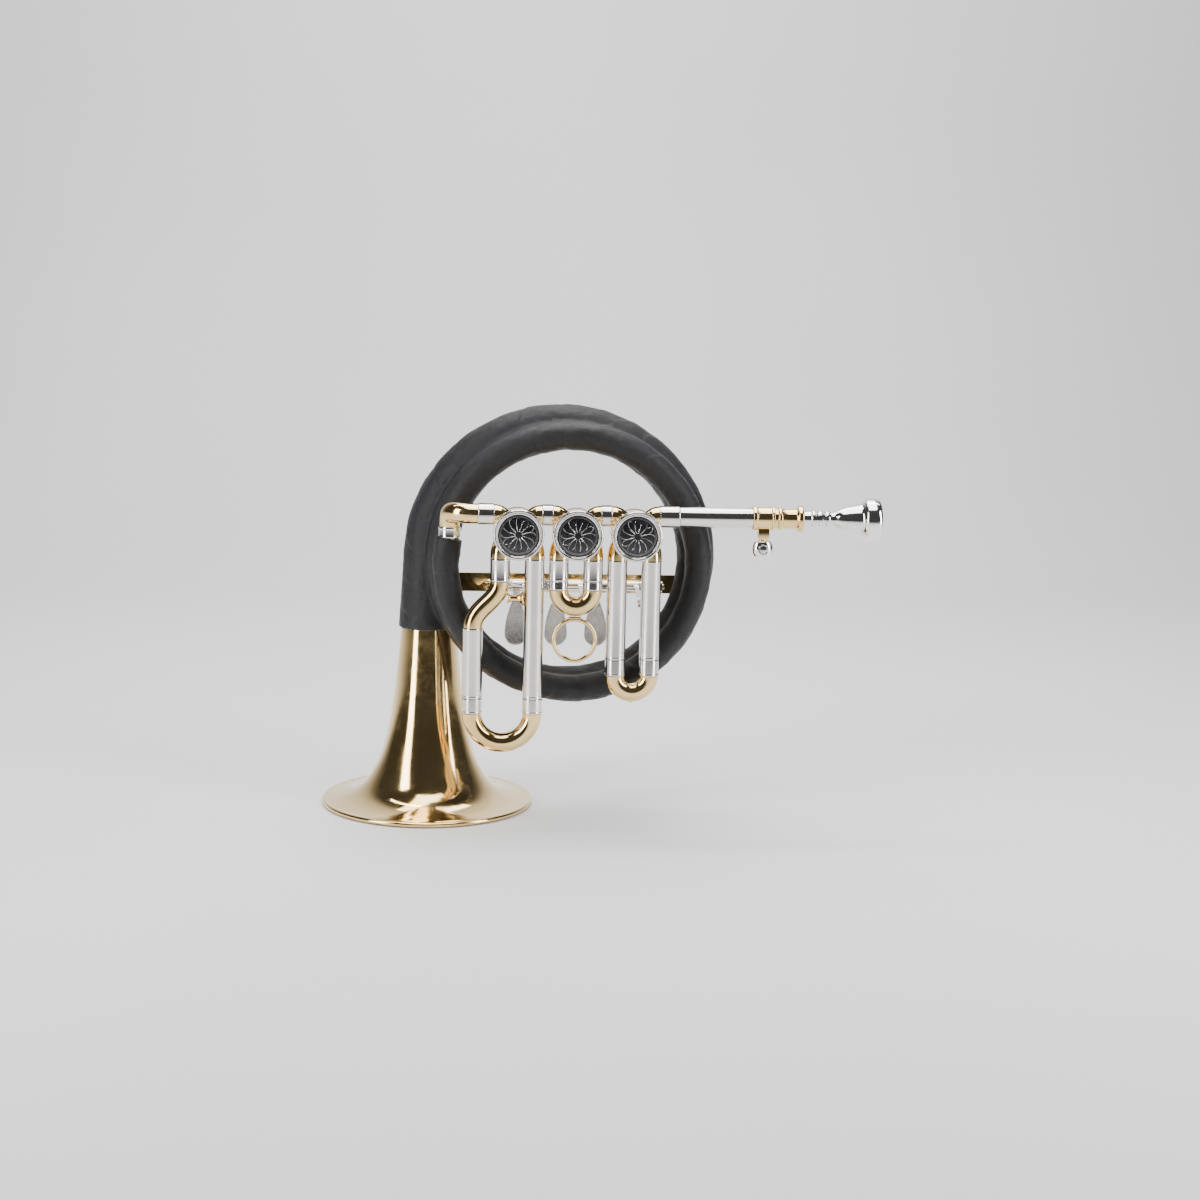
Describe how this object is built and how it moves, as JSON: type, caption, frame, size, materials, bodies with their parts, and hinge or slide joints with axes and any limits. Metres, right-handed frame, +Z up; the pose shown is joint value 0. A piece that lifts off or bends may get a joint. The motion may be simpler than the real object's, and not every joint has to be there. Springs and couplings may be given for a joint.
{
  "type": "valved hunting horn",
  "caption": "Leather-bound coiled hunting horn with a downward bell, rotary valves and their finger levers, pull-out slides and a mouthpiece in a clamped receiver.",
  "frame": {"origin": "centre of the bell's rim circle, in the plane of the rim, which faces down", "axes": "+Z up the bell's axis, +X towards the mouthpiece, parallel to the leadpipe, -Y towards the side that the valve caps face"},
  "size_m": [0.3412, 0.1347, 0.2547],
  "materials": {
    "lacquered_brass": "polished, clear lacquered",
    "nickel_silver": "polished nickel silver",
    "silver_plate": "polished silver plate",
    "steel": "ground and oiled",
    "black_leather": "wound leather, grained and worn to a shine on its crests",
    "valve_cap": "dark inlay in a polished rim"
  },
  "bodies": {
    "horn": {"bell": "lacquered_brass", "coil_tube": "lacquered_brass", "leather_wrap": "black_leather", "coil_ferrule": "nickel_silver", "elbow_tube": "lacquered_brass", "main_ferrule_left": "nickel_silver", "main_ferrule_1_2": "nickel_silver", "main_ferrule_2_3": "nickel_silver", "leadpipe_ferrule": "nickel_silver", "leadpipe": "nickel_silver", "receiver_clamp": "lacquered_brass", "lever_bridge": "lacquered_brass", "hinge_rod": "steel", "slide_1_sleeve_upper": "nickel_silver", "slide_1_offset_tube": "lacquered_brass", "slide_1_brace": "lacquered_brass", "valve_casing_1": "lacquered_brass", "valve_cap_1": "valve_cap", "bearing_plate_1": "lacquered_brass", "return_spring_1": "steel", "slide_1_sleeve_left": "nickel_silver", "slide_1_sleeve_right": "nickel_silver", "valve_casing_2": "lacquered_brass", "valve_cap_2": "valve_cap", "bearing_plate_2": "lacquered_brass", "return_spring_2": "steel", "slide_2_sleeve_left": "nickel_silver", "slide_2_sleeve_right": "nickel_silver", "valve_casing_3": "lacquered_brass", "valve_cap_3": "valve_cap", "bearing_plate_3": "lacquered_brass", "return_spring_3": "steel", "slide_3_sleeve_left": "nickel_silver", "slide_3_sleeve_right": "nickel_silver"},
    "rotor_1": {"rotor_1": "steel", "stop_arm_1": "nickel_silver"},
    "link_1": {"link_1": "nickel_silver"},
    "lever_1": {"lever_1": "nickel_silver"},
    "slide_1": {"slide_1_leg_left": "nickel_silver", "slide_1_leg_right": "nickel_silver", "slide_1_crook": "lacquered_brass"},
    "rotor_2": {"rotor_2": "steel", "stop_arm_2": "nickel_silver"},
    "link_2": {"link_2": "nickel_silver"},
    "lever_2": {"lever_2": "nickel_silver"},
    "slide_2": {"slide_2_leg_left": "nickel_silver", "slide_2_leg_right": "nickel_silver", "slide_2_crook": "lacquered_brass", "slide_2_pull_ring": "lacquered_brass"},
    "rotor_3": {"rotor_3": "steel", "stop_arm_3": "nickel_silver"},
    "link_3": {"link_3": "nickel_silver"},
    "lever_3": {"lever_3": "nickel_silver"},
    "slide_3": {"slide_3_leg_left": "nickel_silver", "slide_3_leg_right": "nickel_silver", "slide_3_crook": "lacquered_brass"},
    "receiver": {"receiver": "lacquered_brass"},
    "mouthpiece": {"mouthpiece": "silver_plate"},
    "clamp_thumbscrew": {"clamp_thumbscrew": "silver_plate"}
  },
  "joints": [
    {"name": "lever_1_press", "type": "hinge", "parent": "horn", "child": "lever_1", "pos_m": [0.0538, 0.00157, 0.14], "axis": [-1, 0, 0], "range_deg": [0, 24], "stiffness_Nm_per_rad": 0.03, "springref_deg": -28.65},
    {"name": "rotor_1_turn", "type": "hinge", "parent": "horn", "child": "rotor_1", "pos_m": [0.0538, -0.051, 0.18], "axis": [0, -1, 0], "range_deg": [0, 90.5]},
    {"name": "link_1_pivot", "type": "hinge", "parent": "rotor_1", "child": "link_1", "pos_m": [0.05981, -0.0267, 0.17399], "axis": [0, 1, 0], "range_deg": [0, 90.5]},
    {"name": "slide_1_pull", "type": "slide", "parent": "horn", "child": "slide_1", "axis": [0, 0, -1], "range_m": [0, 0.025]},
    {"name": "lever_2_press", "type": "hinge", "parent": "horn", "child": "lever_2", "pos_m": [0.0893, 0.00157, 0.14], "axis": [-1, 0, 0], "range_deg": [0, 24], "stiffness_Nm_per_rad": 0.03, "springref_deg": -28.65},
    {"name": "rotor_2_turn", "type": "hinge", "parent": "horn", "child": "rotor_2", "pos_m": [0.0893, -0.051, 0.18], "axis": [0, -1, 0], "range_deg": [0, 90.5]},
    {"name": "link_2_pivot", "type": "hinge", "parent": "rotor_2", "child": "link_2", "pos_m": [0.09531, -0.0267, 0.17399], "axis": [0, 1, 0], "range_deg": [0, 90.5]},
    {"name": "slide_2_pull", "type": "slide", "parent": "horn", "child": "slide_2", "axis": [0, 0, -1], "range_m": [0, 0.009]},
    {"name": "lever_3_press", "type": "hinge", "parent": "horn", "child": "lever_3", "pos_m": [0.1248, 0.00157, 0.14], "axis": [-1, 0, 0], "range_deg": [0, 24], "stiffness_Nm_per_rad": 0.03, "springref_deg": -28.65},
    {"name": "rotor_3_turn", "type": "hinge", "parent": "horn", "child": "rotor_3", "pos_m": [0.1248, -0.051, 0.18], "axis": [0, -1, 0], "range_deg": [0, 90.5]},
    {"name": "link_3_pivot", "type": "hinge", "parent": "rotor_3", "child": "link_3", "pos_m": [0.13081, -0.0267, 0.17399], "axis": [0, 1, 0], "range_deg": [0, 90.5]},
    {"name": "slide_3_pull", "type": "slide", "parent": "horn", "child": "slide_3", "axis": [0, 0, -1], "range_m": [0, 0.025]},
    {"name": "receiver_tuning", "type": "slide", "parent": "horn", "child": "receiver", "axis": [1, 0, 0], "range_m": [0, 0.015]},
    {"name": "mouthpiece_pull", "type": "slide", "parent": "receiver", "child": "mouthpiece", "axis": [1, 0, 0], "range_m": [0, 0.022]},
    {"name": "thumbscrew_turn", "type": "hinge", "parent": "horn", "child": "clamp_thumbscrew", "pos_m": [0.203, -0.051, 0.175], "axis": [0, 0, 1], "range_deg": [0, 360]}
  ],
  "couplings": [
    {"joint": "rotor_1_turn", "follows": "lever_1_press", "ratio": 3.75},
    {"joint": "link_1_pivot", "follows": "lever_1_press", "ratio": 3.75},
    {"joint": "rotor_2_turn", "follows": "lever_2_press", "ratio": 3.75},
    {"joint": "link_2_pivot", "follows": "lever_2_press", "ratio": 3.75},
    {"joint": "rotor_3_turn", "follows": "lever_3_press", "ratio": 3.75},
    {"joint": "link_3_pivot", "follows": "lever_3_press", "ratio": 3.75}
  ]
}
